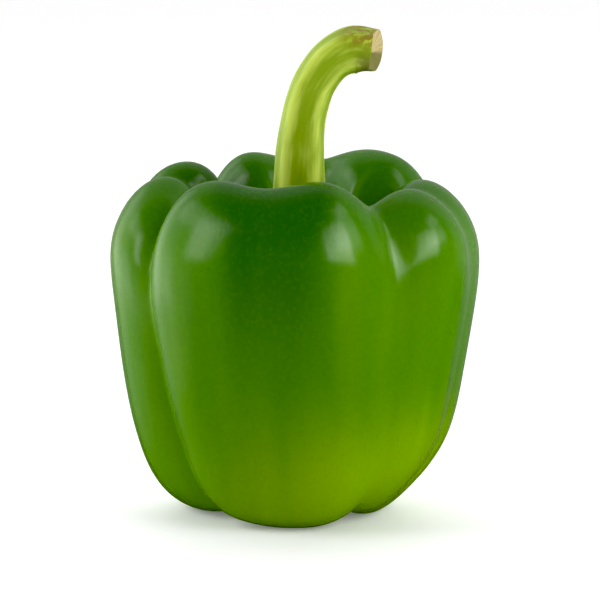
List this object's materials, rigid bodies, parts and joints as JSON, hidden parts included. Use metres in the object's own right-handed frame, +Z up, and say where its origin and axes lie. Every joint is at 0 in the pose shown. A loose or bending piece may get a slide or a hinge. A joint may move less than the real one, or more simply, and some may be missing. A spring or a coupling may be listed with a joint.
{
  "type": "bell pepper",
  "caption": "Green bell pepper, whole, as picked: blocky lobed fruit with furrows, toothed calyx in the crown's hollow, and a curved ribbed stem with a cut end.",
  "frame": {"origin": "on the ground, under the middle of the box round the whole pepper", "axes": "+Z up along the core from the blossom end to the stem, -Y the front that the picture shows, +X the side the stem bends to"},
  "size_m": [0.0962, 0.0989, 0.1278],
  "materials": {
    "skin": "waxy, glossy, thick green skin",
    "calyx": "matt, dull green leaf",
    "stem": "satin, ribbed, yellow green"
  },
  "bodies": {
    "root": {"fruit": "skin", "calyx": "calyx", "stem": "stem"}
  },
  "joints": []
}
